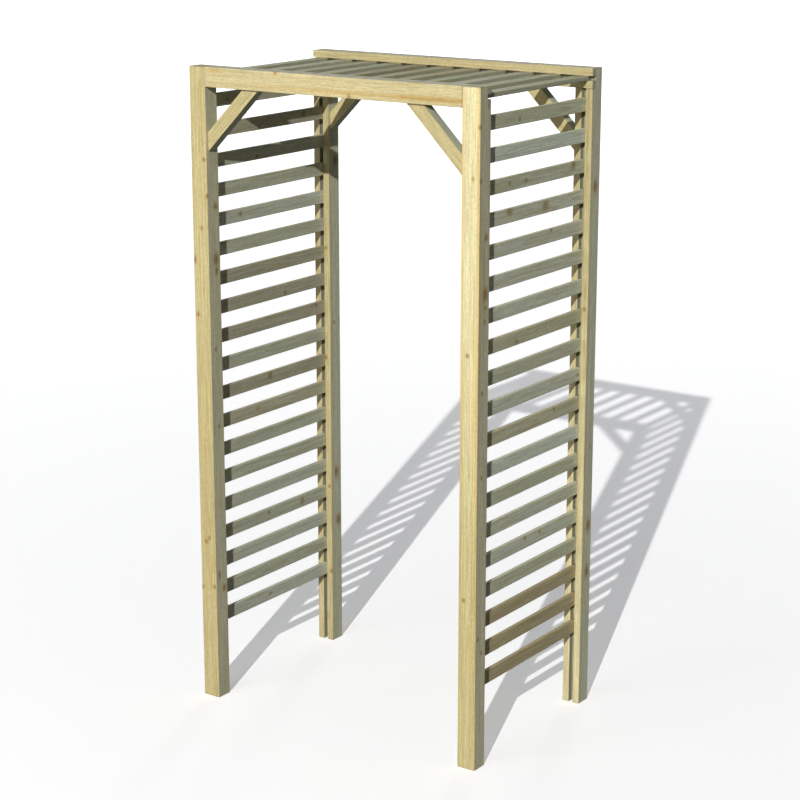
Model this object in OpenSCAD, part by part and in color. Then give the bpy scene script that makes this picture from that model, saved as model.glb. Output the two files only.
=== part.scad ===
// Garden arch: a free-standing walk-through frame of softwood with slatted sides and roof.
//
// The front and the back are each a pair of posts with a header board between them and a
// brace in each upper corner. Two battens behind every board leave a groove, and the slats
// of the sides and the roof run from front to back in those grooves.
//
// Millimetres. The origin is on the ground at the middle of the arch, +X runs across the
// walkway, +Y from the front to the back, and +Z up.

/* [Overall] */
// Height, from the ground to the top of the headers
arch_height = 2200; // [1800:10:2600]
// Width across the front, over the posts
arch_width = 1130; // [900:10:1600]
// Depth, from the front face to the back face
arch_depth = 730; // [450:10:1100]

/* [Posts and headers] */
// Width of a post or header board on its face
board_w = 65; // [55:1:90]
// Thickness of a post or header board
board_t = 40; // [25:1:50]
// Thickness of the battens behind the boards
batten_t = 19; // [12:1:30]

/* [Slats] */
// Width of a slat
slat_w = 45; // [30:1:60]
// Thickness of a slat, which also sets the groove between the battens
slat_t = 15; // [9:1:20]
// Play of a slat in its groove, over its thickness
slat_play = 0; // [0:0.1:1]
// Number of slats on each side
side_slat_count = 19; // [6:1:22]
// Height of the lowest side slat above the ground
side_slat_lift = 260; // [50:5:500]
// Gap between the highest side slat and the headers
side_slat_drop = 30; // [10:5:120]
// Number of slats on the roof
roof_slat_count = 11; // [4:1:12]
// Gap between the outside of a post and the first roof slat
roof_slat_margin = 17.5; // [0:0.5:60]

/* [Corner braces] */
// Reach of a brace from its corner, along the header and down the post
brace_reach = 212; // [150:1:300]
// Width of a brace across its face
brace_w = 45; // [30:1:60]
// Thickness of a brace, from front to back
brace_t = 38; // [20:1:50]

/* [Hidden] */
LEFT = -1;
RIGHT = 1;
FRONT = -1;
BACK = 1;

board_colour = "#dccb93";
batten_colour = "#c6b884";
slat_colour = "#989a86";

half_width = arch_width / 2;
half_depth = arch_depth / 2;

// The boards lie at the front and back faces, and the battens behind them
board_inner_y = half_depth - board_t;
batten_inner_y = board_inner_y - batten_t;
frame_middle_y = (half_depth + batten_inner_y) / 2;

// The walkway between the posts, and its height under the headers
post_inner_x = half_width - board_w;
header_underside = arch_height - board_w;

// The groove lies along the middle of a board, between its two battens
groove_w = slat_t + slat_play;
batten_w = (board_w - groove_w) / 2;
side_slat_x = half_width - board_w / 2;
roof_slat_z = arch_height - board_w / 2;

side_slat_top = header_underside - side_slat_drop;
side_slat_pitch = (side_slat_top - slat_w - side_slat_lift) / (side_slat_count - 1);
roof_slat_pitch = (arch_width - 2 * roof_slat_margin - slat_w) / (roof_slat_count - 1);

// Reach of the upper edge of a brace, which is cut at 45 degrees at both ends
brace_inner_reach = brace_reach - brace_w * sqrt(2);

// Names of the roof slats, counted from the left
function roof_slat_name(i) = str("roof_slat_", i < 10 ? "0" : "", i);

// ---- Shapes that repeat, drawn at the back right corner ----

// A plain length of timber between two opposite corners
module timber(low, high) {
    translate(low) cube(high - low);
}

// Mirrors a piece of the back right corner to another corner
module to_corner(side, face) {
    mirror([side == LEFT ? 1 : 0, 0, 0])
        mirror([0, face == FRONT ? 1 : 0, 0])
            children();
}

// A post stands for the whole height of the arch
module post(side, face) {
    color(board_colour)
        to_corner(side, face)
            timber([post_inner_x, board_inner_y, 0], [half_width, half_depth, arch_height]);
}

// A header board fits between its two posts, level with their tops
module header(face) {
    color(board_colour)
        to_corner(RIGHT, face)
            timber(
                [-post_inner_x, board_inner_y, header_underside],
                [post_inner_x, half_depth, arch_height]
            );
}

// A corner batten stands behind a post, from the ground to the lower header batten
module corner_batten(side, face, outer_x) {
    color(batten_colour)
        to_corner(side, face)
            timber(
                [outer_x - batten_w, batten_inner_y, 0],
                [outer_x, board_inner_y, header_underside]
            );
}

module outer_batten(side, face) {
    corner_batten(side, face, half_width);
}

module inner_batten(side, face) {
    corner_batten(side, face, post_inner_x + batten_w);
}

// A header batten runs behind the header and both posts, over the whole width
module header_batten(face, top_z) {
    color(batten_colour)
        to_corner(RIGHT, face)
            timber(
                [-half_width, batten_inner_y, top_z - batten_w],
                [half_width, board_inner_y, top_z]
            );
}

module upper_header_batten(face) {
    header_batten(face, arch_height);
}

module lower_header_batten(face) {
    header_batten(face, header_underside + batten_w);
}

// A brace fills the corner between a post and the header, in the middle of the frame's depth
module brace(side, face) {
    color(board_colour)
        to_corner(side, face)
            translate([post_inner_x, frame_middle_y, header_underside])
                rotate([90, 0, 0])
                    linear_extrude(height = brace_t, center = true)
                        polygon([
                            [0, -brace_reach],
                            [0, -brace_inner_reach],
                            [-brace_inner_reach, 0],
                            [-brace_reach, 0]
                        ]);
}

// The slats of one side, on edge one above another
module side_slats(side) {
    color(slat_colour)
        to_corner(side, BACK)
            for (i = [0 : side_slat_count - 1])
                translate([side_slat_x, 0, side_slat_lift + i * side_slat_pitch])
                    timber([-slat_t / 2, -board_inner_y, 0], [slat_t / 2, board_inner_y, slat_w]);
}

// One slat of the roof, lying flat
module roof_slat(i) {
    color(slat_colour)
        translate([(i - (roof_slat_count + 1) / 2) * roof_slat_pitch, 0, roof_slat_z])
            timber(
                [-slat_w / 2, -board_inner_y, -slat_t / 2],
                [slat_w / 2, board_inner_y, slat_t / 2]
            );
}

// ---- Posts ----
module front_left_post() { post(LEFT, FRONT); }
module front_right_post() { post(RIGHT, FRONT); }
module back_left_post() { post(LEFT, BACK); }
module back_right_post() { post(RIGHT, BACK); }

// ---- Headers and the battens behind them ----
module front_header() { header(FRONT); }
module back_header() { header(BACK); }
module front_upper_header_batten() { upper_header_batten(FRONT); }
module front_lower_header_batten() { lower_header_batten(FRONT); }
module back_upper_header_batten() { upper_header_batten(BACK); }
module back_lower_header_batten() { lower_header_batten(BACK); }

// ---- Battens behind the posts ----
module front_left_outer_batten() { outer_batten(LEFT, FRONT); }
module front_left_inner_batten() { inner_batten(LEFT, FRONT); }
module front_right_outer_batten() { outer_batten(RIGHT, FRONT); }
module front_right_inner_batten() { inner_batten(RIGHT, FRONT); }
module back_left_outer_batten() { outer_batten(LEFT, BACK); }
module back_left_inner_batten() { inner_batten(LEFT, BACK); }
module back_right_outer_batten() { outer_batten(RIGHT, BACK); }
module back_right_inner_batten() { inner_batten(RIGHT, BACK); }

// ---- Corner braces ----
module front_left_brace() { brace(LEFT, FRONT); }
module front_right_brace() { brace(RIGHT, FRONT); }
module back_left_brace() { brace(LEFT, BACK); }
module back_right_brace() { brace(RIGHT, BACK); }

// ---- Slatted sides ----
module left_side_slats() { side_slats(LEFT); }
module right_side_slats() { side_slats(RIGHT); }

front_left_post();
front_right_post();
back_left_post();
back_right_post();
front_header();
back_header();
front_left_outer_batten();
front_left_inner_batten();
front_right_outer_batten();
front_right_inner_batten();
back_left_outer_batten();
back_left_inner_batten();
back_right_outer_batten();
back_right_inner_batten();
front_upper_header_batten();
front_lower_header_batten();
back_upper_header_batten();
back_lower_header_batten();
front_left_brace();
front_right_brace();
back_left_brace();
back_right_brace();
left_side_slats();
right_side_slats();
for (i = [1 : roof_slat_count])
    roof_slat(i);
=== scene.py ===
# %% [markdown]
# # A softwood garden arch
#
# The arch is joinery at its plainest: four posts, two headers, battens that make grooves
# behind them, a brace in each corner, and slats that slide into the grooves. Everything is
# sawn, pressure-treated softwood, so the work in Blender is mostly timber: squared lengths
# with their sharp edges taken off, and a finish that has rings, fibres, knots and the
# grey-green of the treatment.
#
# The CAD model is loaded first and gives every length its place.

# %% Load the CAD frame
import math

import bpy
import numpy as np
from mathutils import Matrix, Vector


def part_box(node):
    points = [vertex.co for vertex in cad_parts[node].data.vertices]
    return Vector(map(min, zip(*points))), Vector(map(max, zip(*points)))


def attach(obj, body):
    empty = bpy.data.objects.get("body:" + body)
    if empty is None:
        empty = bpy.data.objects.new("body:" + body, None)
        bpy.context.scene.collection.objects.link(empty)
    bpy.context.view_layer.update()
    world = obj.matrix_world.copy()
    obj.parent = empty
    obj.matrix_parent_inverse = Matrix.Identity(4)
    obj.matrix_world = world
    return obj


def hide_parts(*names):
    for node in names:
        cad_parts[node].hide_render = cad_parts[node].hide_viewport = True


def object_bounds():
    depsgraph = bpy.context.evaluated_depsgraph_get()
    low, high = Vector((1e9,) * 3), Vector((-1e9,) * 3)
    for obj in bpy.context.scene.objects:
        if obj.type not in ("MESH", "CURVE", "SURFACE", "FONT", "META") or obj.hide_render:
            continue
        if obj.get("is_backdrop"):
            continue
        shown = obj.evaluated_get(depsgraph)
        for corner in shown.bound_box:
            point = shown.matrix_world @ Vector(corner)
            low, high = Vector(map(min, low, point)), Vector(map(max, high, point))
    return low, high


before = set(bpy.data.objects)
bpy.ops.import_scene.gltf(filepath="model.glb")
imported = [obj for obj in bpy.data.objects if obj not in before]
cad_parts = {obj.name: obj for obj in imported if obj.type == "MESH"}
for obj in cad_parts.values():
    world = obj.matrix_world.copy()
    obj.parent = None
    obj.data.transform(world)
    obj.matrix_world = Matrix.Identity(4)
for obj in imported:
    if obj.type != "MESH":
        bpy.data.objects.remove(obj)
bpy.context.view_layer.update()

# %% [markdown]
# ## The camera
#
# The arch is seen from its front right, from a little higher than its top, with a long lens
# that keeps the uprights nearly parallel.

# %% Camera
bpy.ops.object.select_all(action="DESELECT")
bpy.ops.object.camera_add(
    location=(3.9292, -5.6309, 2.8874),
    rotation=(math.radians(75.232), 0, math.radians(34.771)),
)
camera = bpy.context.object
camera.name = "camera"
camera.data.lens = 94.27
camera.data.sensor_width = 36
camera.data.clip_end = 300
bpy.context.scene.camera = camera
bpy.context.scene.view_settings.view_transform = "Standard"
print("camera:", round(camera.location.length, 2), "m away,", camera.data.lens, "mm lens")

# %% [markdown]
# ## Light
#
# The arch stands in sunshine, so the main lamp is a sun. It comes over the camera's left
# shoulder, 27 degrees up, and is neutral in colour, so that the warmth stays in the timber.
# Its strength is about pi, at which a face turned full to it shows the colour that is
# written in its material. A wide soft lamp and the sky fill the shadows, and a second,
# softer sun from behind, almost level, lights the back for anyone who walks round. The sky
# is white to the camera, and faint and a little blue to everything else.

# %% Sun, soft lamp and sky
bpy.ops.object.light_add(type="SUN", rotation=(math.radians(62.8), 0, math.radians(20.8)))
sun = bpy.context.object
sun.name = "sun"
sun.data.energy = 3.05
sun.data.angle = math.radians(0.5)

bpy.ops.object.light_add(type="AREA", location=(-1.5, -7.0, 2.6))
soft_lamp = bpy.context.object
soft_lamp.name = "soft_lamp"
soft_lamp.data.shape = "SQUARE"
soft_lamp.data.size = 5.0
soft_lamp.data.energy = 145
to_arch = Vector((0, 0, 1)) - soft_lamp.location
soft_lamp.rotation_euler = to_arch.to_track_quat("-Z", "Y").to_euler()

bpy.ops.object.light_add(type="SUN")
back_glow = bpy.context.object
back_glow.name = "back_glow"
back_glow.data.energy = 3.0
back_glow.data.angle = math.radians(12)
back_glow.rotation_euler = Vector((0.36, -0.93, -0.02)).to_track_quat("-Z", "Y").to_euler()


def seen_directly(tree):
    """A mask: 1 where the camera, a reflection or clear glass looks, and 0 for plain light."""
    path = tree.nodes.new("ShaderNodeLightPath")
    reflected = tree.nodes.new("ShaderNodeMath")
    reflected.operation = "MAXIMUM"
    tree.links.new(path.outputs["Is Camera Ray"], reflected.inputs[0])
    tree.links.new(path.outputs["Is Glossy Ray"], reflected.inputs[1])
    through = tree.nodes.new("ShaderNodeMath")
    through.operation = "MAXIMUM"
    tree.links.new(reflected.outputs[0], through.inputs[0])
    tree.links.new(path.outputs["Is Transmission Ray"], through.inputs[1])
    return through.outputs[0]


sky = bpy.data.worlds.new("sky")
sky.use_nodes = True
bpy.context.scene.world = sky
sky.node_tree.nodes.clear()
faint = sky.node_tree.nodes.new("ShaderNodeBackground")
faint.inputs["Strength"].default_value = 0.085
faint.inputs["Color"].default_value = (0.90, 0.98, 1.16, 1)
white = sky.node_tree.nodes.new("ShaderNodeBackground")
white.inputs["Color"].default_value = (1, 1, 1, 1)
choice = sky.node_tree.nodes.new("ShaderNodeMixShader")
sky_out = sky.node_tree.nodes.new("ShaderNodeOutputWorld")
sky.node_tree.links.new(seen_directly(sky.node_tree), choice.inputs[0])
sky.node_tree.links.new(faint.outputs[0], choice.inputs[1])
sky.node_tree.links.new(white.outputs[0], choice.inputs[2])
sky.node_tree.links.new(choice.outputs[0], sky_out.inputs["Surface"])

# %% [markdown]
# ## Floor
#
# The floor is one big plane in a plain pale finish. To the camera it glows a little, and the
# glow grows with the distance from the arch on every side, which makes the floor white in the
# sun and leaves a soft grey shadow. To every other ray it is a dull grey, so that it doesn't
# throw too much light back up at the arch.

# %% Floor
bpy.ops.mesh.primitive_plane_add(size=200, location=(0, 0, 0))
floor = bpy.context.object
floor.name = "floor"
bpy.ops.object.transform_apply(location=True, rotation=True, scale=True)
floor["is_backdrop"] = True

pale_floor = bpy.data.materials.new("pale_floor")
pale_floor.use_nodes = True
tree = pale_floor.node_tree
tree.nodes.clear()
NEAR, NEAR_GLOW = 1.0, 0.30
FAR, FAR_GLOW = 7.0, 0.48
place = tree.nodes.new("ShaderNodeTexCoord")
distance = tree.nodes.new("ShaderNodeVectorMath")
distance.operation = "LENGTH"
tree.links.new(place.outputs["Object"], distance.inputs[0])
lift = tree.nodes.new("ShaderNodeMapRange")
lift.clamp = False
lift.inputs["From Min"].default_value = NEAR
lift.inputs["From Max"].default_value = FAR
lift.inputs["To Min"].default_value = NEAR_GLOW
lift.inputs["To Max"].default_value = FAR_GLOW
tree.links.new(distance.outputs["Value"], lift.inputs["Value"])
dull = tree.nodes.new("ShaderNodeBsdfDiffuse")
dull.inputs["Color"].default_value = (0.17, 0.17, 0.17, 1)
bright = tree.nodes.new("ShaderNodeBsdfDiffuse")
bright.inputs["Color"].default_value = (1, 0.995, 0.985, 1)
glow = tree.nodes.new("ShaderNodeEmission")
glow.inputs["Color"].default_value = (1, 1, 1, 1)
tree.links.new(lift.outputs[0], glow.inputs["Strength"])
lifted = tree.nodes.new("ShaderNodeAddShader")
tree.links.new(bright.outputs[0], lifted.inputs[0])
tree.links.new(glow.outputs[0], lifted.inputs[1])
choice = tree.nodes.new("ShaderNodeMixShader")
tree.links.new(seen_directly(tree), choice.inputs[0])
tree.links.new(dull.outputs[0], choice.inputs[1])
tree.links.new(lifted.outputs[0], choice.inputs[2])
floor_out = tree.nodes.new("ShaderNodeOutputMaterial")
tree.links.new(choice.outputs[0], floor_out.inputs["Surface"])
floor.data.materials.append(pale_floor)
print("floor is", floor.dimensions.x, "m across")

# %% [markdown]
# ## Lengths of timber
#
# Every piece but the brace is a squared length: sawn straight, planed lightly, and its sharp
# edges (joiners say arrises) rubbed off so that they don't splinter. By hand that is a cube
# at the right size and place, and a narrow bevel on all its edges in edit mode. The Weighted
# Normal modifier then keeps the broad faces flat to the light and rolls only the arris.

# %% A squared length
def ease_arrises(piece, arris):
    """Takes off the sharp edges of a piece, which is the active object, by a narrow bevel."""
    bpy.ops.object.mode_set(mode="EDIT")
    bpy.ops.mesh.select_all(action="SELECT")
    bpy.ops.mesh.bevel(offset=arris, offset_type="OFFSET", segments=3, profile=0.5, affect="EDGES")
    bpy.ops.mesh.select_all(action="SELECT")
    bpy.ops.mesh.normals_make_consistent(inside=False)
    bpy.ops.object.mode_set(mode="OBJECT")
    bpy.ops.object.shade_smooth_by_angle(angle=math.radians(50))
    bpy.ops.object.modifier_add(type="WEIGHTED_NORMAL")
    piece.modifiers[-1].keep_sharp = True
    bpy.ops.object.modifier_apply(modifier=piece.modifiers[-1].name)


def squared_length(name, low, high, arris):
    """A squared length of timber that fills the box from low to high."""
    bpy.ops.object.select_all(action="DESELECT")
    bpy.ops.mesh.primitive_cube_add(size=1, location=(low + high) / 2, scale=high - low)
    piece = bpy.context.object
    piece.name = name
    piece.data.name = name
    bpy.ops.object.transform_apply(location=True, rotation=True, scale=True)
    ease_arrises(piece, arris)
    return piece


# %% [markdown]
# The finish needs to know where it is in its own length, whichever way the length lies:
# across it, through its thickness, and along its grain. So each piece carries that as an
# attribute called timber, its half size as another, and a seed that makes its grain its own.

# %% Mark the grain
def mark_grain(piece, across, through, along, seed):
    """Writes how far each point is across, through and along the timber, from its middle."""
    mesh = piece.data
    points = np.empty(len(mesh.vertices) * 3)
    mesh.vertices.foreach_get("co", points)
    axes = np.array([across, through, along], dtype=float)
    local = points.reshape(-1, 3) @ axes.T
    half = (local.max(axis=0) - local.min(axis=0)) / 2
    local -= (local.max(axis=0) + local.min(axis=0)) / 2
    for label, values in (("timber", local), ("half_size", np.tile(half, (len(local), 1)))):
        layer = mesh.attributes.new(label, "FLOAT_VECTOR", "POINT")
        layer.data.foreach_set("vector", values.astype(np.float32).ravel())
    layer = mesh.attributes.new("seed", "FLOAT", "POINT")
    layer.data.foreach_set("value", np.full(len(local), seed, dtype=np.float32))


def new_seed(piece, seed):
    """Gives a copy its own grain."""
    layer = piece.data.attributes["seed"]
    layer.data.foreach_set("value", np.full(len(piece.data.vertices), seed, dtype=np.float32))


X = (1, 0, 0)
Y = (0, 1, 0)
Z = (0, 0, 1)

# %% [markdown]
# What repeats is made once and copied. A copy gets its own mesh, because its place is kept
# in its mesh and its grain differs. One that belongs on the other side of the arch is
# mirrored, and its faces are then turned outwards again.

# %% Copies
def copied(piece, name, shift, seed, mirror=(1, 1, 1)):
    """A copy of a piece, moved by shift after mirroring, with grain of its own."""
    bpy.ops.object.select_all(action="DESELECT")
    piece.select_set(True)
    bpy.context.view_layer.objects.active = piece
    bpy.ops.object.duplicate(linked=False)
    copy = bpy.context.object
    copy.name = name
    copy.data.name = name
    copy.location = shift
    copy.scale = mirror
    bpy.ops.object.transform_apply(location=True, rotation=True, scale=True)
    if mirror != (1, 1, 1):
        bpy.ops.object.mode_set(mode="EDIT")
        bpy.ops.mesh.select_all(action="SELECT")
        bpy.ops.mesh.normals_make_consistent(inside=False)
        bpy.ops.object.mode_set(mode="OBJECT")
    new_seed(copy, seed)
    return copy


def middle(node):
    """The middle of a CAD node's box."""
    low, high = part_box(node)
    return (low + high) / 2


def installed(piece, node):
    """Hands a finished piece to the frame: it rides with the arch and stands for its CAD node."""
    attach(piece, "root")
    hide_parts(node)
    return piece


# %% [markdown]
# ## Posts
#
# Four posts, 65 x 40 mm, stand at the outer corners for the whole height. The front left one
# is made, and the others are copies of it.

# %% Posts
POST_ARRIS = 0.0012
posts = {}
low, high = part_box("front_left_post")
posts["front_left_post"] = squared_length("front_left_post_timber", low, high, POST_ARRIS)
mark_grain(posts["front_left_post"], X, Y, Z, seed=1.3)
for node, seed in (("front_right_post", 2.6), ("back_left_post", 3.2), ("back_right_post", 4.9)):
    shift = middle(node) - middle("front_left_post")
    posts[node] = copied(posts["front_left_post"], node + "_timber", shift, seed)
for node, piece in posts.items():
    installed(piece, node)
print("posts:", len(posts), "each", [round(v, 3) for v in high - low])

# %% [markdown]
# ## Headers
#
# A header board fits between the tops of two posts. Its ends meet the posts in a plain butt
# joint, which shows as a fine upright seam.

# %% Headers
HEADER_ARRIS = 0.0010
headers = {}
low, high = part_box("front_header")
headers["front_header"] = squared_length("front_header_timber", low, high, HEADER_ARRIS)
mark_grain(headers["front_header"], Z, Y, X, seed=5.4)
shift = middle("back_header") - middle("front_header")
headers["back_header"] = copied(headers["front_header"], "back_header_timber", shift, seed=6.1)
for node, piece in headers.items():
    installed(piece, node)
print("headers:", len(headers), "each", [round(v, 3) for v in high - low])

# %% [markdown]
# ## Battens
#
# Two battens stand behind each post, and two run behind each header over the whole width.
# They are the width of a slat apart, and that groove holds the ends of the slats.

# %% Battens behind the posts
BATTEN_ARRIS = 0.0011
first = "front_left_outer_batten"
upright_battens = {}
low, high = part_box(first)
upright_battens[first] = squared_length(first + "_timber", low, high, BATTEN_ARRIS)
mark_grain(upright_battens[first], X, Y, Z, seed=7.7)
seed = 8.0
for face in ("front", "back"):
    for side in ("left", "right"):
        for row in ("outer", "inner"):
            node = f"{face}_{side}_{row}_batten"
            seed += 1.37
            if node != first:
                shift = middle(node) - middle(first)
                piece = copied(upright_battens[first], node + "_timber", shift, seed)
                upright_battens[node] = piece
for node, piece in upright_battens.items():
    installed(piece, node)
print("upright battens:", len(upright_battens))

# %% Battens behind the headers
first = "front_upper_header_batten"
header_battens = {}
low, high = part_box(first)
header_battens[first] = squared_length(first + "_timber", low, high, BATTEN_ARRIS)
mark_grain(header_battens[first], Z, Y, X, seed=21.0)
seed = 22.0
for node in ("front_lower_header_batten", "back_upper_header_batten", "back_lower_header_batten"):
    seed += 1.61
    shift = middle(node) - middle(first)
    header_battens[node] = copied(header_battens[first], node + "_timber", shift, seed)
for node, piece in header_battens.items():
    installed(piece, node)
print("header battens:", len(header_battens))

# %% [markdown]
# ## Braces
#
# A brace is a short length laid at 45 degrees, its ends sawn to lie flat on the post and
# under the header. It is made as it is in the workshop: a length is turned to 45 degrees,
# then sawn at both ends with Bisect, which cuts along a plane and fills the cut.

# %% Saw a length to a plane
def sawn_off(piece, point, away):
    """Saws a piece along a plane, and drops what lies on the side that away points to."""
    bpy.context.view_layer.objects.active = piece
    bpy.ops.object.mode_set(mode="EDIT")
    bpy.ops.mesh.select_all(action="SELECT")
    bpy.ops.mesh.bisect(plane_co=point, plane_no=away, use_fill=True, clear_outer=True)
    bpy.ops.object.mode_set(mode="OBJECT")


# %% Braces
low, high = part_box("front_right_brace")
reach = high.x - low.x
thick = high.y - low.y
DIAGONAL = Vector((1, 0, 1)).normalized()
SQUARE_TO_IT = Vector((-1, 0, 1)).normalized()
corner = Vector((high.x, (low.y + high.y) / 2, high.z))
BRACE_WIDTH = 0.045
edge_reach = reach / math.sqrt(2)
print("brace reaches", round(reach, 3), "m, and its lower edge lies", round(edge_reach, 3), "m out")

# %% [markdown]
# The lower edge of the brace runs from the post to the header at the full reach. Its middle
# line lies half a width nearer the corner, and that is where the turned length is placed.

# %% The front right brace
BRACE_ARRIS = 0.0012
down_left = Vector((-1, 0, -1)).normalized()
brace_middle = corner + down_left * (edge_reach - BRACE_WIDTH / 2)
bpy.ops.object.select_all(action="DESELECT")
bpy.ops.mesh.primitive_cube_add(
    size=1,
    location=brace_middle,
    rotation=(0, math.radians(-45), 0),
    scale=(BRACE_WIDTH, thick, 0.5),
)
brace = bpy.context.object
brace.name = "front_right_brace_timber"
brace.data.name = brace.name
bpy.ops.object.transform_apply(location=True, rotation=True, scale=True)
sawn_off(brace, corner, (1, 0, 0))
sawn_off(brace, corner, (0, 0, 1))
ease_arrises(brace, BRACE_ARRIS)
mark_grain(brace, DIAGONAL, Y, SQUARE_TO_IT, seed=31.0)
brace_high = [round(max(v.co[i] for v in brace.data.vertices), 4) for i in range(3)]
print("brace goes up to", brace_high, "and its CAD box to", [round(v, 4) for v in high])

# %% Its three copies
braces = {"front_right_brace": brace}
depth_shift = middle("back_right_brace").y - middle("front_right_brace").y
braces["front_left_brace"] = copied(brace, "front_left_brace_timber", (0, 0, 0), 33.4, (-1, 1, 1))
back_shift = (0, depth_shift, 0)
braces["back_right_brace"] = copied(brace, "back_right_brace_timber", back_shift, 35.9)
braces["back_left_brace"] = copied(brace, "back_left_brace_timber", back_shift, 37.2, (-1, 1, 1))
for node, piece in braces.items():
    installed(piece, node)
print("braces:", len(braces))

# %% [markdown]
# ## Slats
#
# The slats are thin battens, 45 x 15 mm. On the sides they stand on edge one above another,
# nineteen a side, and on the roof eleven lie flat. One side slat is made at the foot of the
# right side and copied up and across.

# %% Side slats
SIDE_SLATS = 19
SLAT_ARRIS = 0.0018
low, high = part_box("right_side_slats")
roof_low, roof_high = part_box("roof_slat_01")
slat_width = roof_high.x - roof_low.x
rise = (high.z - low.z - slat_width) / (SIDE_SLATS - 1)
lowest_high = Vector((high.x, high.y, low.z + slat_width))
first_slat = squared_length("right_side_slat_01_timber", low, lowest_high, SLAT_ARRIS)
mark_grain(first_slat, Z, X, Y, seed=41.0)
side_slats = {"right": [first_slat], "left": []}
across_shift = middle("left_side_slats").x - middle("right_side_slats").x
for step in range(SIDE_SLATS):
    if step > 0:
        name = f"right_side_slat_{step + 1:02d}_timber"
        side_slats["right"].append(copied(first_slat, name, (0, 0, step * rise), 41 + 1.9 * step))
    name = f"left_side_slat_{step + 1:02d}_timber"
    shift = (across_shift, 0, step * rise)
    side_slats["left"].append(copied(first_slat, name, shift, 83 + 2.3 * step))
for side, slats in side_slats.items():
    for piece in slats:
        installed(piece, side + "_side_slats")
print("side slats:", len(side_slats["left"]), len(side_slats["right"]), "rise", round(rise, 4))

# %% [markdown]
# The roof slats are a node each in the CAD model, so each is placed by its own node's box.

# %% Roof slats
roof_nodes = sorted(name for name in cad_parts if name.startswith("roof_slat_"))
low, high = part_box(roof_nodes[0])
roof_slats = [squared_length(roof_nodes[0] + "_timber", low, high, SLAT_ARRIS)]
mark_grain(roof_slats[0], X, Z, Y, seed=131.0)
for step, node in enumerate(roof_nodes[1:], start=1):
    shift = middle(node) - middle(roof_nodes[0])
    roof_slats.append(copied(roof_slats[0], node + "_timber", shift, 131 + 1.7 * step))
for node, piece in zip(roof_nodes, roof_slats):
    installed(piece, node)
print("roof slats:", len(roof_slats))

# %% [markdown]
# ## Building finishes
#
# A finish is a tree of small nodes. These short helpers add a node, join it up and hand back
# its output, so that the finishes below read as sums.

# %% Node helpers
def plug(tree, socket, value):
    """Joins another node's output to a socket, or types a value into it."""
    if isinstance(value, bpy.types.NodeSocket):
        tree.links.new(value, socket)
    else:
        socket.default_value = value


def number(tree, operation, *values):
    """A Math node."""
    node = tree.nodes.new("ShaderNodeMath")
    node.operation = operation
    for socket, value in zip(node.inputs, values):
        plug(tree, socket, value)
    return node.outputs[0]


def vector(tree, operation, *values):
    """A Vector Math node. LENGTH gives a number."""
    node = tree.nodes.new("ShaderNodeVectorMath")
    node.operation = operation
    for socket, value in zip(node.inputs, values):
        plug(tree, socket, value)
    if operation == "LENGTH":
        return node.outputs["Value"]
    return node.outputs["Vector"]


def scaled(tree, value, factor):
    """A vector or colour times a number."""
    return vector(tree, "SCALE", value, (0, 0, 0), (0, 0, 0), factor)


def fade(tree, value, start, stop, first=0.0, last=1.0):
    """Goes smoothly from first to last while value goes from start to stop."""
    node = tree.nodes.new("ShaderNodeMapRange")
    node.interpolation_type = "SMOOTHSTEP"
    plug(tree, node.inputs["Value"], value)
    plug(tree, node.inputs["From Min"], start)
    plug(tree, node.inputs["From Max"], stop)
    plug(tree, node.inputs["To Min"], first)
    plug(tree, node.inputs["To Max"], last)
    return node.outputs["Result"]


def colours(tree, how, amount, first, second):
    """Mixes two colours. MIX goes from the first to the second, MULTIPLY stains the first."""
    node = tree.nodes.new("ShaderNodeMix")
    node.data_type = "RGBA"
    node.blend_type = how
    plug(tree, node.inputs[0], amount)
    plug(tree, node.inputs[6], first)
    plug(tree, node.inputs[7], second)
    return node.outputs[2]


def noise(tree, place, detail=2.0, roughness=0.5):
    """Noise from 0 to 1 at a place that is already stretched to the size wanted."""
    node = tree.nodes.new("ShaderNodeTexNoise")
    plug(tree, node.inputs["Vector"], place)
    node.inputs["Scale"].default_value = 1.0
    node.inputs["Detail"].default_value = detail
    node.inputs["Roughness"].default_value = roughness
    return node.outputs["Fac"]


def effect(name, inputs, outputs):
    """An empty node group with named inputs and outputs, ready to be filled."""
    group = bpy.data.node_groups.new(name, "ShaderNodeTree")
    for label, kind in inputs:
        group.interface.new_socket(label, in_out="INPUT", socket_type="NodeSocket" + kind)
    for label, kind in outputs:
        group.interface.new_socket(label, in_out="OUTPUT", socket_type="NodeSocket" + kind)
    takes = group.nodes.new("NodeGroupInput").outputs
    hands_on = group.nodes.new("NodeGroupOutput").inputs
    return group, takes, hands_on


def use(tree, group, **values):
    """Puts an effect into a finish. Input names are written with _ for a space."""
    node = tree.nodes.new("ShaderNodeGroup")
    node.node_tree = group
    for label, value in values.items():
        plug(tree, node.inputs[label.replace("_", " ")], value)
    return node.outputs


# %% [markdown]
# ## Growth rings
#
# Softwood rings are thin cylinders round the heart of the tree, pale in spring growth and
# dark and sharp-edged in late growth. A sawn board is cut out of them, so its faces show them
# as long stripes and its ends as arcs. Measuring the distance from a heart line that wanders
# a little gives both at once, with no drawing.

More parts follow.
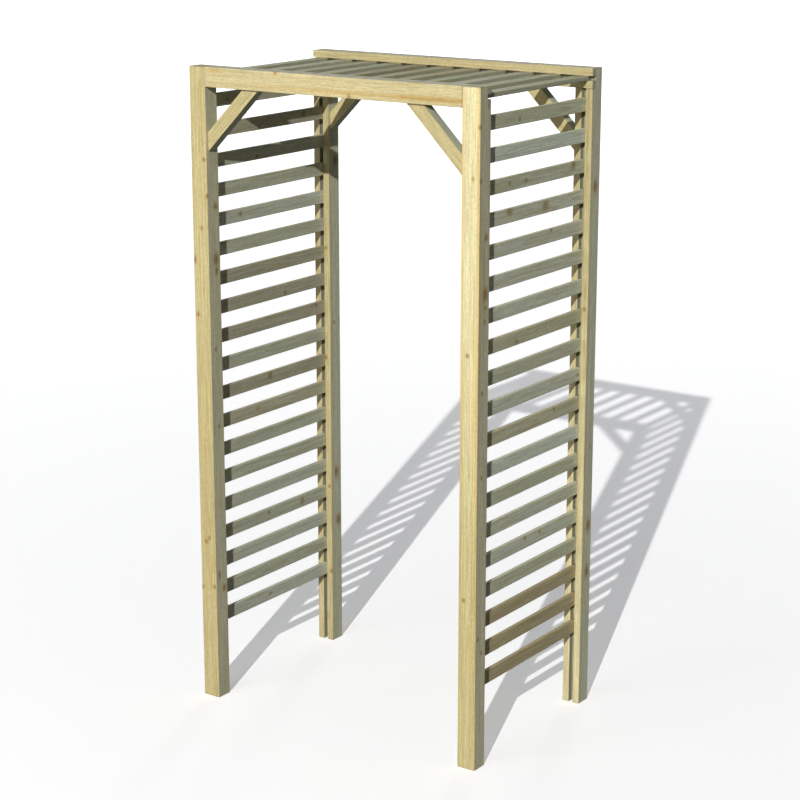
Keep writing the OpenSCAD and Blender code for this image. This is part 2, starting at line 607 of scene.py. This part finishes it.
# %% Growth rings
growth_rings, given, gives = effect(
    "Growth rings",
    [("Place", "Vector"), ("Seed", "Float"), ("Spacing", "Float")],
    [("Late wood", "Float")],
)
tree = growth_rings
chance = tree.nodes.new("ShaderNodeTexWhiteNoise")
chance.noise_dimensions = "1D"
tree.links.new(given["Seed"], chance.inputs["W"])
heart = vector(tree, "MULTIPLY_ADD", chance.outputs["Color"], (0.07, 0.05, 0), (-0.035, 0.03, 0))
slow = vector(tree, "MULTIPLY", given["Place"], (9, 9, 1.3))
seeded = vector(tree, "ADD", slow, scaled(tree, (3.1, 5.7, 7.9), given["Seed"]))
wander_noise = tree.nodes.new("ShaderNodeTexNoise")
wander_noise.inputs["Scale"].default_value = 1.0
wander_noise.inputs["Detail"].default_value = 2.0
tree.links.new(seeded, wander_noise.inputs["Vector"])
wander = wander_noise.outputs["Color"]
wander = vector(tree, "MULTIPLY_ADD", wander, (0.03, 0.03, 0), (-0.015, -0.015, 0))
from_heart = vector(tree, "ADD", vector(tree, "MULTIPLY", given["Place"], (1, 1, 0)), heart)
radius = vector(tree, "LENGTH", vector(tree, "ADD", from_heart, wander))
year = number(tree, "FRACT", number(tree, "DIVIDE", radius, given["Spacing"]))
rising = number(tree, "POWER", year, 2.2)
ending = fade(tree, year, 0.9, 1.0, 1.0, 0.0)
plug(tree, gives["Late wood"], number(tree, "MULTIPLY", rising, ending))
print("effect:", growth_rings.name)

# %% [markdown]
# ## Fibres
#
# Between the rings the timber is streaked along its length. Noise that is squeezed across the
# grain and drawn out along it gives streaks: a fine set as wide as a fibre bundle, and a
# broad one that makes some bands of a board paler than others.

# %% Fibres
fibres, given, gives = effect(
    "Fibres",
    [("Place", "Vector"), ("Seed", "Float")],
    [("Fine", "Float"), ("Broad", "Float"), ("Mottle", "Float")],
)
tree = fibres
offset = scaled(tree, (11.3, 4.1, 2.7), given["Seed"])
for label, stretch, detail in (
    ("Fine", (520, 520, 15), 4.0),
    ("Broad", (110, 110, 2.6), 3.0),
    ("Mottle", (230, 230, 85), 3.0),
):
    place = vector(tree, "ADD", vector(tree, "MULTIPLY", given["Place"], stretch), offset)
    plug(tree, gives[label], noise(tree, place, detail, 0.55))
print("effect:", fibres.name)

# %% [markdown]
# ## Knots
#
# A knot is where a branch left the tree: a brown heart with a darker rind, and a resinous
# stain in the timber round it. Small ones turn up by chance. Voronoi cells give each one a
# home, the cell's colour decides whether there is a knot at all and how big it is, and the
# distance is measured in metres, so that a knot stays round whatever way the cells are
# stretched.

# %% Chance knots
chance_knots, given, gives = effect(
    "Chance knots",
    [("Place", "Vector"), ("Seed", "Float"), ("Share", "Float")],
    [("Core", "Float"), ("Stain", "Float")],
)
tree = chance_knots
CELL = (22, 22, 8)
SMALLEST_KNOT = 0.0022
LARGEST_KNOT = 0.0052
offset = scaled(tree, (2.3, 6.1, 9.7), given["Seed"])
in_cells = vector(tree, "ADD", vector(tree, "MULTIPLY", given["Place"], CELL), offset)
cells = tree.nodes.new("ShaderNodeTexVoronoi")
cells.inputs["Scale"].default_value = 1.0
cells.inputs["Randomness"].default_value = 0.9
tree.links.new(in_cells, cells.inputs["Vector"])
away = vector(tree, "DIVIDE", vector(tree, "SUBTRACT", in_cells, cells.outputs["Position"]), CELL)
away = vector(tree, "MULTIPLY", away, (1, 1, 0.75))
distance = vector(tree, "LENGTH", away)
luck = tree.nodes.new("ShaderNodeSeparateColor")
tree.links.new(cells.outputs["Color"], luck.inputs[0])
present = number(tree, "LESS_THAN", luck.outputs[0], given["Share"])
knot_radius = fade(tree, luck.outputs[1], 0.0, 1.0, SMALLEST_KNOT, LARGEST_KNOT)
core = fade(tree, number(tree, "DIVIDE", distance, knot_radius), 0.3, 1.2, 1.0, 0.0)
stain = fade(tree, number(tree, "DIVIDE", distance, knot_radius), 0.8, 2.8, 1.0, 0.0)
plug(tree, gives["Core"], number(tree, "MULTIPLY", core, present))
plug(tree, gives["Stain"], number(tree, "MULTIPLY", stain, present))
print("effect:", chance_knots.name)

# %% [markdown]
# ## Edges and faces
#
# Treatment salts leave sawn edges greyer and greener than the broad faces, and handling rubs
# the arrises browner. The half size of a piece says how far a point is from each pair of its
# faces: the nearest pair is the face it is on, and the second nearest is its distance from
# an arris.

# %% Faces and arrises
faces_and_arrises, given, gives = effect(
    "Faces and arrises",
    [("Place", "Vector"), ("Half size", "Vector"), ("Seed", "Float")],
    [("Broad face", "Float"), ("Arris", "Float"), ("End", "Float")],
)
tree = faces_and_arrises
inset = vector(tree, "SUBTRACT", given["Half size"], vector(tree, "ABSOLUTE", given["Place"]))
parts = tree.nodes.new("ShaderNodeSeparateXYZ")
tree.links.new(inset, parts.inputs[0])
from_side, from_face, from_end = parts.outputs
nearer_edge = number(tree, "MINIMUM", from_side, from_end)
broad = fade(tree, number(tree, "SUBTRACT", nearer_edge, from_face), -0.0012, 0.0012)
lowest = number(tree, "MINIMUM", nearer_edge, from_face)
highest = number(tree, "MAXIMUM", number(tree, "MAXIMUM", from_side, from_end), from_face)
total = number(tree, "ADD", number(tree, "ADD", from_side, from_end), from_face)
second = number(tree, "SUBTRACT", number(tree, "SUBTRACT", total, lowest), highest)
NARROWEST_WEAR = 0.0012
WIDEST_WEAR = 0.0055
ragged = vector(tree, "MULTIPLY", given["Place"], (60, 60, 25))
ragged = vector(tree, "ADD", ragged, scaled(tree, (1, 1, 1), given["Seed"]))
worn_width = fade(tree, noise(tree, ragged, 3.0), 0.3, 0.75, NARROWEST_WEAR, WIDEST_WEAR)
plug(tree, gives["Broad face"], broad)
worn = number(tree, "DIVIDE", second, worn_width)
plug(tree, gives["Arris"], fade(tree, worn, 0.3, 1.0, 1.0, 0.0))
plug(tree, gives["End"], fade(tree, from_end, 0.001, 0.0035, 1.0, 0.0))
print("effect:", faces_and_arrises.name)

# %% [markdown]
# ## A mark in its place
#
# A few knots and resin streaks are big enough to be this arch's own. Each is an egg-shaped
# patch at a place in the arch, with its own half lengths in the three directions.

# %% Placed mark
placed_mark, given, gives = effect(
    "Placed mark",
    [("Place", "Vector"), ("Centre", "Vector"), ("Reach", "Vector")],
    [("Core", "Float"), ("Stain", "Float")],
)
tree = placed_mark
ragged = tree.nodes.new("ShaderNodeTexNoise")
ragged.inputs["Scale"].default_value = 160.0
ragged.inputs["Detail"].default_value = 2.0
tree.links.new(given["Place"], ragged.inputs["Vector"])
shake = ragged.outputs["Color"]
shaken = vector(tree, "MULTIPLY_ADD", shake, (0.004, 0.004, 0.004), given["Place"])
shaken = vector(tree, "SUBTRACT", shaken, (0.002, 0.002, 0.002))
away = vector(tree, "SUBTRACT", shaken, given["Centre"])
how_far = vector(tree, "LENGTH", vector(tree, "DIVIDE", away, given["Reach"]))
plug(tree, gives["Core"], fade(tree, how_far, 0.3, 1.2, 1.0, 0.0))
plug(tree, gives["Stain"], fade(tree, how_far, 0.6, 2.4, 1.0, 0.0))
print("effect:", placed_mark.name)

# %% [markdown]
# ## Painted shade in the grooves
#
# The timber between two battens gets a painted shade, darker and bluer, for the shade that falls in
# a groove. The grooves are where they are in the arch: a slat's thickness wide, in the middle of
# each board, and inside the front and back faces. The upright ones stop under the header battens.

# %% Mask of the painted groove shade
low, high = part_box("front_right_outer_batten")
side_low, side_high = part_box("right_side_slats")
roof_slat_low, roof_slat_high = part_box("roof_slat_01")
GROOVE_X = (side_low.x + side_high.x) / 2
GROOVE_Z = (roof_slat_low.z + roof_slat_high.z) / 2
GROOVE_HALF = (side_high.x - side_low.x) / 2
painted_groove_shade, given, gives = effect("Painted groove shade", [("Place", "Vector")], [("Mask", "Float")])
tree = painted_groove_shade
here = tree.nodes.new("ShaderNodeSeparateXYZ")
tree.links.new(vector(tree, "ABSOLUTE", given["Place"]), here.inputs[0])
beside = number(tree, "ABSOLUTE", number(tree, "SUBTRACT", here.outputs["X"], GROOVE_X))
upright = fade(tree, beside, GROOVE_HALF, GROOVE_HALF + 0.0007, 1.0, 0.0)
below = fade(tree, here.outputs["Z"], high.z - 0.001, high.z, 1.0, 0.0)
upright = number(tree, "MULTIPLY", upright, below)
above = number(tree, "ABSOLUTE", number(tree, "SUBTRACT", here.outputs["Z"], GROOVE_Z))
level = fade(tree, above, GROOVE_HALF, GROOVE_HALF + 0.0007, 1.0, 0.0)
behind = fade(tree, here.outputs["Y"], abs(high.y) - 0.0005, abs(high.y) + 0.0005)
before = fade(tree, here.outputs["Y"], abs(low.y) + 0.001, abs(low.y) + 0.002, 1.0, 0.0)
between = number(tree, "MULTIPLY", behind, before)
either = number(tree, "MAXIMUM", upright, level)
plug(tree, gives["Mask"], number(tree, "MULTIPLY", either, between))
print("effect:", painted_groove_shade.name, "at x", round(GROOVE_X, 4), "z", round(GROOVE_Z, 4))

# %% [markdown]
# ## The timber finish
#
# All the timber is one finish with different colours: a broad-face colour, an edge colour, and how
# knotty it is. Rings, fibres and knots stain the colour in turn, as they do in wood, and a painted
# shade darkens the grooves.
# Late wood is harder, so it stands up a hair after weathering and is a touch smoother, and
# that is the bump and the roughness.

# %% Timber finish
def rgb(red, green, blue):
    """A colour with its alpha."""
    return (red, green, blue, 1.0)


# Painted shade for the grooves: darker and bluer, where shade falls between two battens.
PAINTED_GROOVE_SHADE = rgb(0.60, 0.64, 0.74)
END_GRAIN = rgb(0.62, 0.62, 0.62)
LATE_WOOD = rgb(0.80, 0.70, 0.52)
KNOT_HEART = rgb(0.34, 0.21, 0.10)
KNOT_RIND = rgb(0.17, 0.10, 0.045)
KNOT_STAIN = rgb(0.72, 0.52, 0.32)
RESIN = rgb(0.93, 0.82, 0.66)
BARE = rgb(0.90, 0.82, 0.66)
RING_SPACING = 0.0042


def timber_finish(
    name, face, edge, foot=None, knottiness=0.2, knots=(), knot_depth=0.8, streaks=()
):
    """A sawn softwood finish, in which foot is the colour of the broad faces near the ground.

    Knots and streaks are lists of (centre, reach) in the arch.
    """
    material = bpy.data.materials.new(name)
    material.use_nodes = True
    tree = material.node_tree
    shader = tree.nodes["Principled BSDF"]
    place = tree.nodes.new("ShaderNodeAttribute")
    place.attribute_name = "timber"
    half = tree.nodes.new("ShaderNodeAttribute")
    half.attribute_name = "half_size"
    seed = tree.nodes.new("ShaderNodeAttribute")
    seed.attribute_name = "seed"
    where = place.outputs["Vector"]
    own = seed.outputs["Fac"]
    arch = tree.nodes.new("ShaderNodeTexCoord").outputs["Object"]

    rings = use(tree, growth_rings, Place=where, Seed=own, Spacing=RING_SPACING)["Late wood"]
    streaky = use(tree, fibres, Place=where, Seed=own)
    by_chance = use(tree, chance_knots, Place=where, Seed=own, Share=knottiness)
    shape = use(tree, faces_and_arrises, Place=where, Half_size=half.outputs["Vector"], Seed=own)

    if foot:
        level = tree.nodes.new("ShaderNodeSeparateXYZ")
        tree.links.new(arch, level.inputs[0])
        face = colours(tree, "MIX", fade(tree, level.outputs["Z"], 0.2, 1.9), foot, face)
    colour = colours(tree, "MIX", shape["Broad face"], edge, face)
    fine = fade(tree, streaky["Fine"], 0.3, 0.7, 0.85, 1.10)
    broad = fade(tree, streaky["Broad"], 0.3, 0.7, 0.90, 1.07)
    mottle = fade(tree, streaky["Mottle"], 0.3, 0.7, 0.90, 1.06)
    light = number(tree, "MULTIPLY", number(tree, "MULTIPLY", fine, broad), mottle)
    colour = scaled(tree, colour, light)
    colour = colours(tree, "MULTIPLY", number(tree, "MULTIPLY", rings, 0.8), colour, LATE_WOOD)
    for centre, reach in streaks:
        streak = use(tree, placed_mark, Place=arch, Centre=centre, Reach=reach)["Stain"]
        colour = colours(tree, "MULTIPLY", streak, colour, RESIN)
    core = by_chance["Core"]
    stain = by_chance["Stain"]
    for centre, reach in knots:
        mark = use(tree, placed_mark, Place=arch, Centre=centre, Reach=reach)
        core = number(tree, "MAXIMUM", core, mark["Core"])
        stain = number(tree, "MAXIMUM", stain, mark["Stain"])
    colour = colours(tree, "MULTIPLY", number(tree, "MULTIPLY", stain, 0.7), colour, KNOT_STAIN)
    rind = fade(tree, core, 0.6, 1.0, 1.0, 0.0)
    knot_colour = colours(tree, "MIX", rind, KNOT_HEART, KNOT_RIND)
    colour = colours(tree, "MIX", number(tree, "MULTIPLY", core, knot_depth), colour, knot_colour)
    worn = number(tree, "MULTIPLY", shape["Arris"], 0.45)
    colour = colours(tree, "MULTIPLY", worn, colour, BARE)
    ends = number(tree, "MULTIPLY", shape["End"], 0.8)
    colour = colours(tree, "MULTIPLY", ends, colour, END_GRAIN)
    # Painted shade in the grooves, darker and bluer between the battens.
    groove_shade_amount = use(tree, painted_groove_shade, Place=arch)["Mask"]
    colour = colours(tree, "MULTIPLY", groove_shade_amount, colour, PAINTED_GROOVE_SHADE)
    tree.links.new(colour, shader.inputs["Base Color"])

    rough = number(tree, "SUBTRACT", 0.86, number(tree, "MULTIPLY", rings, 0.12))
    tree.links.new(rough, shader.inputs["Roughness"])
    shader.inputs["Specular IOR Level"].default_value = 0.12

    ridges = number(tree, "MULTIPLY", rings, 0.4)
    height = number(tree, "MULTIPLY_ADD", streaky["Fine"], 0.6, ridges)
    height = number(tree, "MULTIPLY_ADD", core, 0.5, height)
    bump = tree.nodes.new("ShaderNodeBump")
    bump.inputs["Strength"].default_value = 0.5
    bump.inputs["Distance"].default_value = 0.0006
    tree.links.new(height, bump.inputs["Height"])
    tree.links.new(bump.outputs["Normal"], shader.inputs["Normal"])
    return material


# %% [markdown]
# ## Knots of the posts
#
# The bigger knots of a post are its own, so each is given where it sits on the post, by its
# middle and its reach. Some lie across the seam between a post and its batten, so those are
# listed apart and both finishes get them.

# %% Knots of the posts
RIGHT_FACE = 0.565
FRONT_FACE = -0.365
LEFT_INNER_FACE = -0.500
KNOT = (0.005, 0.004, 0.006)
BIG_KNOT = (0.008, 0.0105, 0.017)

right_seam_knots = [
    ((RIGHT_FACE, -0.326, 1.743), (0.005, 0.007, 0.009)),
    ((RIGHT_FACE, -0.328, 1.567), BIG_KNOT),
    ((RIGHT_FACE, -0.326, 1.525), KNOT),
    ((RIGHT_FACE, -0.328, 1.480), KNOT),
]
right_knots = right_seam_knots + [
    ((RIGHT_FACE, -0.359, 1.918), KNOT),
    ((RIGHT_FACE, -0.364, 2.081), KNOT),
    ((RIGHT_FACE, -0.340, 1.256), KNOT),
    ((RIGHT_FACE, -0.340, 0.983), KNOT),
    ((RIGHT_FACE, -0.351, 0.449), KNOT),
    ((RIGHT_FACE, -0.329, 0.397), KNOT),
    ((0.526, FRONT_FACE, 1.375), KNOT),
    ((0.519, FRONT_FACE, 0.576), KNOT),
]
left_seam_knots = [
    ((LEFT_INNER_FACE, -0.324, 1.737), (0.005, 0.008, 0.009)),
    ((LEFT_INNER_FACE, -0.328, 1.559), BIG_KNOT),
    ((LEFT_INNER_FACE, -0.326, 1.518), (0.005, 0.006, 0.012)),
    ((LEFT_INNER_FACE, -0.324, 0.397), (0.005, 0.008, 0.010)),
]
left_knots = left_seam_knots + [
    ((-0.511, FRONT_FACE, 1.896), KNOT),
    ((-0.501, FRONT_FACE, 1.776), KNOT),
    ((-0.560, FRONT_FACE, 1.558), (0.006, 0.005, 0.010)),
    ((-0.552, FRONT_FACE, 1.371), KNOT),
    ((-0.541, FRONT_FACE, 0.570), KNOT),
    ((-0.509, FRONT_FACE, 0.410), KNOT),
    ((-0.562, FRONT_FACE, 0.402), KNOT),
    ((LEFT_INNER_FACE, -0.339, 1.252), KNOT),
    ((LEFT_INNER_FACE, -0.331, 0.981), KNOT),
    ((LEFT_INNER_FACE, -0.348, 0.449), (0.005, 0.004, 0.012)),
]
back_knots = [
    ((RIGHT_FACE, 0.336, 1.814), BIG_KNOT),
    ((RIGHT_FACE, 0.308, 1.875), KNOT),
    ((RIGHT_FACE, 0.343, 0.645), BIG_KNOT),
    ((RIGHT_FACE, 0.340, 0.480), BIG_KNOT),
    ((LEFT_INNER_FACE, 0.343, 1.811), BIG_KNOT),
    ((LEFT_INNER_FACE, 0.330, 1.223), KNOT),
    ((LEFT_INNER_FACE, 0.336, 0.657), BIG_KNOT),
    ((LEFT_INNER_FACE, 0.347, 0.468), BIG_KNOT),
]
print("knots:", len(right_knots), "right,", len(left_knots), "left,", len(back_knots), "back")

# %% [markdown]
# ## Finishes for the frame
#
# The boards are honey yellow on their broad faces and grey-green on their edges. The front
# right post is the palest, with a few resin streaks along it. The braces and the battens are
# the same stock with fewer knots, and the battens on the left are the darker ones.

# %% Board finishes
EDGE = rgb(0.605, 0.59, 0.41)
pale_board = timber_finish(
    "pale_board",
    rgb(0.88, 0.80, 0.47),
    EDGE,
    foot=rgb(0.60, 0.52, 0.26),
    knots=right_knots,
    streaks=[
        ((0.560, FRONT_FACE, 1.5), (0.0040, 0.01, 0.9)),
        ((0.548, FRONT_FACE, 0.9), (0.0015, 0.01, 0.7)),
        ((0.503, FRONT_FACE, 1.2), (0.0045, 0.01, 1.0)),
        ((RIGHT_FACE, -0.336, 1.60), (0.01, 0.006, 0.11)),
    ],
)
honey_board = timber_finish(
    "honey_board", rgb(0.62, 0.53, 0.265), EDGE, foot=rgb(0.56, 0.465, 0.23), knots=left_knots
)
back_board = timber_finish(
    "back_board", rgb(0.66, 0.58, 0.33), rgb(0.62, 0.63, 0.465), knots=back_knots
)
header_board = timber_finish(
    "header_board",
    rgb(0.68, 0.59, 0.325),
    rgb(0.53, 0.53, 0.45),
    streaks=[
        ((0.15, FRONT_FACE, 2.152), (0.30, 0.02, 0.004)),
        ((-0.46, FRONT_FACE, 2.19), (0.02, 0.02, 0.006)),
        ((0.40, FRONT_FACE, 2.155), (0.09, 0.02, 0.006)),
    ],
    knots=[((0.08, FRONT_FACE, 2.140), KNOT)],
)
board_timbers = (pale_board, honey_board, back_board, header_board)
print("board finishes:", [timber.name for timber in board_timbers])

# %% Brace and batten finishes
FEW_KNOTS = 0.1
BACK_BATTEN_FACE = 0.306
brace_timber = timber_finish(
    "brace_timber", rgb(0.595, 0.515, 0.265), rgb(0.47, 0.49, 0.38), knottiness=FEW_KNOTS
)
batten_timber = timber_finish(
    "batten_timber",
    rgb(0.59, 0.51, 0.275),
    EDGE,
    foot=rgb(0.71, 0.63, 0.36),
    knottiness=FEW_KNOTS,
    knots=right_seam_knots + [((0.552, BACK_BATTEN_FACE, 1.406), KNOT)],
)
left_batten_knots = [
    ((-0.517, BACK_BATTEN_FACE, 1.499), KNOT),
    ((-0.519, BACK_BATTEN_FACE, 1.094), KNOT),
    ((-0.510, BACK_BATTEN_FACE, 0.605), KNOT),
    ((-0.505, BACK_BATTEN_FACE, 0.275), KNOT),
]
honey_batten = timber_finish(
    "honey_batten",
    rgb(0.55, 0.47, 0.25),
    EDGE,
    foot=rgb(0.57, 0.49, 0.26),
    knottiness=FEW_KNOTS,
    knots=left_seam_knots + left_batten_knots,
)
print("other finishes:", [timber.name for timber in (brace_timber, batten_timber, honey_batten)])


# %% Dress the frame timbers
def dress(piece, material):
    """Gives a piece one finish."""
    piece.data.materials.clear()
    piece.data.materials.append(material)


dress(posts["front_left_post"], honey_board)
dress(posts["front_right_post"], pale_board)
dress(posts["back_left_post"], back_board)
dress(posts["back_right_post"], back_board)
for piece in headers.values():
    dress(piece, header_board)
for piece in braces.values():
    dress(piece, brace_timber)
for node, piece in upright_battens.items():
    dress(piece, honey_batten if "left" in node else batten_timber)
for piece in header_battens.values():
    dress(piece, batten_timber)
frame_groups = (posts, headers, braces, upright_battens, header_battens)
print("frame timbers dressed:", sum(len(group) for group in frame_groups))

# %% [markdown]
# ## Slat finishes
#
# No two slats took the treatment alike. Most are grey-green, a few are bluish, and some near
# the ground are brown. Six tones cover them, and each side lists its tones from the bottom.
# The left side, seen from inside the arch, gets a painted shade: it is a little darker than the
# right in the same tones.

# %% Slat tones
SLAT_TONES = {
    "green": rgb(0.583, 0.603, 0.430),
    "grey": rgb(0.643, 0.665, 0.508),
    "blue": rgb(0.680, 0.740, 0.600),
    "tan": rgb(0.584, 0.565, 0.380),
    "fawn": rgb(0.500, 0.475, 0.325),
    "brown": rgb(0.480, 0.420, 0.245),
}
print("slat tones:", sorted(SLAT_TONES))

# %% Knots of the slats
RIGHT_SLAT_FACE = 0.54
LEFT_SLAT_FACE = -0.525
SLAT_KNOT = (0.005, 0.0055, 0.005)
BIG_SLAT_KNOT = (0.005, 0.014, 0.011)
right_slat_knots = [
    ((RIGHT_SLAT_FACE, -0.153, 1.796), BIG_SLAT_KNOT),
    ((RIGHT_SLAT_FACE, 0.064, 1.785), BIG_SLAT_KNOT),
    ((RIGHT_SLAT_FACE, -0.155, 1.884), SLAT_KNOT),
    ((RIGHT_SLAT_FACE, -0.056, 1.882), SLAT_KNOT),
    ((RIGHT_SLAT_FACE, 0.235, 1.895), (0.005, 0.009, 0.012)),
    ((RIGHT_SLAT_FACE, -0.100, 2.076), SLAT_KNOT),
    ((RIGHT_SLAT_FACE, 0.102, 1.700), SLAT_KNOT),
    ((RIGHT_SLAT_FACE, -0.100, 1.372), SLAT_KNOT),
    ((RIGHT_SLAT_FACE, 0.293, 1.184), SLAT_KNOT),
    ((RIGHT_SLAT_FACE, 0.142, 1.098), SLAT_KNOT),
    ((RIGHT_SLAT_FACE, 0.062, 0.694), SLAT_KNOT),
]
left_slat_knots = [
    ((LEFT_SLAT_FACE, -0.220, 2.080), SLAT_KNOT),
    ((LEFT_SLAT_FACE, 0.195, 1.990), (0.005, 0.008, 0.008)),
    ((LEFT_SLAT_FACE, -0.055, 1.970), SLAT_KNOT),
    ((LEFT_SLAT_FACE, -0.069, 1.872), SLAT_KNOT),
    ((LEFT_SLAT_FACE, 0.076, 1.374), SLAT_KNOT),
    ((LEFT_SLAT_FACE, 0.256, 1.296), SLAT_KNOT),
    ((LEFT_SLAT_FACE, -0.016, 1.092), (0.005, 0.008, 0.010)),
    ((LEFT_SLAT_FACE, -0.035, 0.590), SLAT_KNOT),
    ((LEFT_SLAT_FACE, 0.160, 0.585), (0.005, 0.007, 0.009)),
    ((LEFT_SLAT_FACE, -0.035, 0.285), SLAT_KNOT),
]
side_knots = {"right": right_slat_knots, "left": left_slat_knots}
print("slat knots:", {side: len(knots) for side, knots in side_knots.items()})

# %% Side slat finishes
SLAT_KNOTTINESS = 0.12
SLAT_KNOT_DEPTH = 0.5
# Painted shade: the left slats are made a little darker in the same tones.
side_painted_shade = {"right": (1, 1, 1), "left": (0.93, 0.94, 0.99)}
side_tones = {
    "right": (
        "brown brown brown green grey grey green blue tan grey "
        "green tan grey grey grey grey green blue green"
    ),
    # The top two left slats take the dark fawn tone as a painted shade, for the shade under the
    # header.
    "left": (
        "grey green grey green grey green green tan fawn green "
        "fawn fawn fawn green grey green green fawn fawn"
    ),
}
for side, slats in side_slats.items():
    slat_timber = {}
    for piece, tone in zip(slats, side_tones[side].split()):
        if tone not in slat_timber:
            colour = rgb(*(part * shade for part, shade in zip(SLAT_TONES[tone], side_painted_shade[side])))
            slat_timber[tone] = timber_finish(
                f"{side}_slat_{tone}",
                colour,
                colour,
                knottiness=SLAT_KNOTTINESS,
                knots=side_knots[side],
                knot_depth=SLAT_KNOT_DEPTH,
            )
        dress(piece, slat_timber[tone])
    print(side, "slats are", sorted(slat_timber))

# %% [markdown]
# The roof slats lie flat. Their tops are the slat tones a little darker, and their edges get a
# painted shade, duller than the tops, for the sun that finds the tops and not the edges. Each has a
# knot near its back end.

# %% Roof slat finishes
ROOF_SHADE = 0.88
# Painted shade on the edges of the roof slats, which come out darker than the tops.
ROOF_EDGE_PAINTED_SHADE = 0.84
ROOF_KNOT_INSET = 0.022
ROOF_KNOT_Y = 0.285
ROOF_KNOT = (0.010, 0.016, 0.006)
roof_knots = []
for piece in roof_slats:
    knot_x = piece.bound_box[0][0] + ROOF_KNOT_INSET
    roof_knots.append(((knot_x, ROOF_KNOT_Y, roof_slat_high.z), ROOF_KNOT))
roof_timber = {}
for tone in ("green", "grey", "tan", "fawn"):
    top = rgb(*(ROOF_SHADE * part for part in SLAT_TONES[tone][:3]))
    edge = rgb(*(ROOF_EDGE_PAINTED_SHADE * part for part in top[:3]))
    roof_timber[tone] = timber_finish(
        "roof_" + tone, top, edge, knottiness=SLAT_KNOTTINESS, knots=roof_knots
    )
roof_tones = "green grey green green fawn tan tan green grey green green"
for piece, tone in zip(roof_slats, roof_tones.split()):
    dress(piece, roof_timber[tone])
print("roof slats are", sorted(roof_timber))

# %% [markdown]
# ## The size
#
# The timber must fill the same box as the CAD model, so the box it fills is printed.

# %% Size
low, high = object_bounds()
print("visual box:", [round(v, 4) for v in (*low, *high)])
